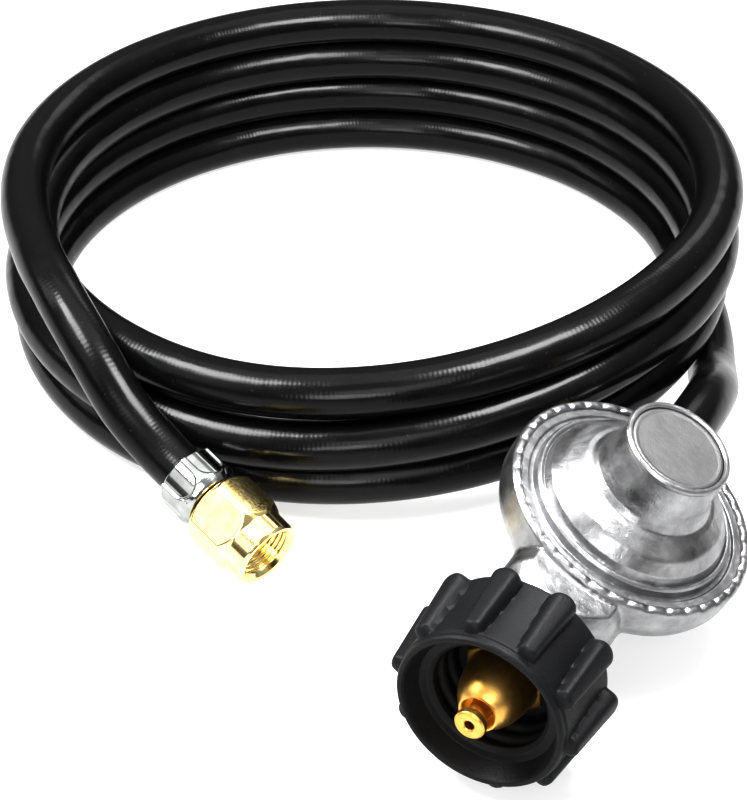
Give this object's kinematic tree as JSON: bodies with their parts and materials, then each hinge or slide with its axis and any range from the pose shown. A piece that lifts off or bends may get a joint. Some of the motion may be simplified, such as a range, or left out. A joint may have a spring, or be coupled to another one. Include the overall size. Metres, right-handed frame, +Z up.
{
  "type": "propane regulator hose",
  "caption": "Low-pressure gas regulator with a plastic tank nut, a coiled rubber hose and a swivelling flare fitting at its far end.",
  "frame": {"origin": "on the surface that the object lies on, under the middle of the regulator with its tank nut and outlet ferrule", "axes": "+Z up from the surface; +Y along the regulator from the tank nut's mouth to the hose outlet; +X to the side that the bonnet leans to"},
  "size_m": [0.2769, 0.3017, 0.0671],
  "materials": {
    "die_cast": "satin die-cast metal",
    "cap": "matt grey disc",
    "steel": "bright plated steel",
    "spring_steel": "drawn wire and pressed sheet",
    "brass": "turned brass",
    "yellow_zinc": "pale yellow passivated zinc on steel",
    "nut_plastic": "charcoal plastic with a fine grain",
    "bushing_plastic": "black plastic",
    "screw_plastic": "off-white plastic",
    "hose_rubber": "glossy black rubber",
    "soft_rubber": "matt black rubber"
  },
  "bodies": {
    "regulator": {"regulator_body": "die_cast", "regulator_cover": "die_cast", "tower_cap": "cap", "adjusting_screw": "screw_plastic", "main_spring": "spring_steel", "diaphragm": "soft_rubber", "lever_pin": "spring_steel", "inlet_orifice": "brass", "inlet_nipple": "brass", "flow_limiter_spring": "spring_steel", "outlet_barb": "brass", "outlet_ferrule": "steel", "hose_regulator_end": "hose_rubber", "hose_coil": "hose_rubber", "hose_flare_end": "hose_rubber", "flare_ferrule": "steel", "flare_insert": "brass"},
    "bushing": {"thermal_bushing": "bushing_plastic"},
    "tank_nut": {"inlet_nut": "nut_plastic"},
    "flow_limiter": {"flow_limiter_plunger": "brass"},
    "diaphragm_assembly": {"diaphragm_plate": "spring_steel", "diaphragm_washer": "spring_steel", "diaphragm_stem": "brass"},
    "lever": {"lever": "spring_steel"},
    "valve": {"valve_holder": "brass", "seat_disc": "soft_rubber"},
    "flare_nut": {"flare_nut": "yellow_zinc"}
  },
  "joints": [
    {"name": "bushing_slide", "type": "slide", "parent": "regulator", "child": "bushing", "axis": [0, -1, 0], "range_m": [-0.0025, 0.0005]},
    {"name": "tank_nut_spin", "type": "hinge", "parent": "bushing", "child": "tank_nut", "pos_m": [-0.00373, -0.05, 0.027], "axis": [0, -1, 0], "continuous": true},
    {"name": "flow_limiter_slide", "type": "slide", "parent": "regulator", "child": "flow_limiter", "axis": [0, 1, 0], "range_m": [0, 0.002], "stiffness_N_per_m": 500, "deforming": ["flow_limiter_spring"]},
    {"name": "diaphragm_slide", "type": "slide", "parent": "regulator", "child": "diaphragm_assembly", "axis": [0.4462, 0, 0.8949], "range_m": [0, 0.002], "stiffness_N_per_m": 1500, "deforming": ["main_spring", "diaphragm"]},
    {"name": "lever_tilt", "type": "hinge", "parent": "regulator", "child": "lever", "pos_m": [-0.00641, 0.00715, 0.02163], "axis": [0.8949, 0, -0.4462], "range_deg": [0, 11.46]},
    {"name": "valve_slide", "type": "slide", "parent": "regulator", "child": "valve", "axis": [0, -1, 0], "range_m": [0, 0.0012]},
    {"name": "flare_nut_spin", "type": "hinge", "parent": "regulator", "child": "flare_nut", "pos_m": [-0.08893, -0.01485, 0.0102], "axis": [0.918, -0.278, -0.283], "continuous": true}
  ],
  "couplings": [
    {"joint": "lever_tilt", "follows": "diaphragm_slide", "rad_per_m": 100},
    {"joint": "valve_slide", "follows": "diaphragm_slide", "ratio": 0.6}
  ]
}
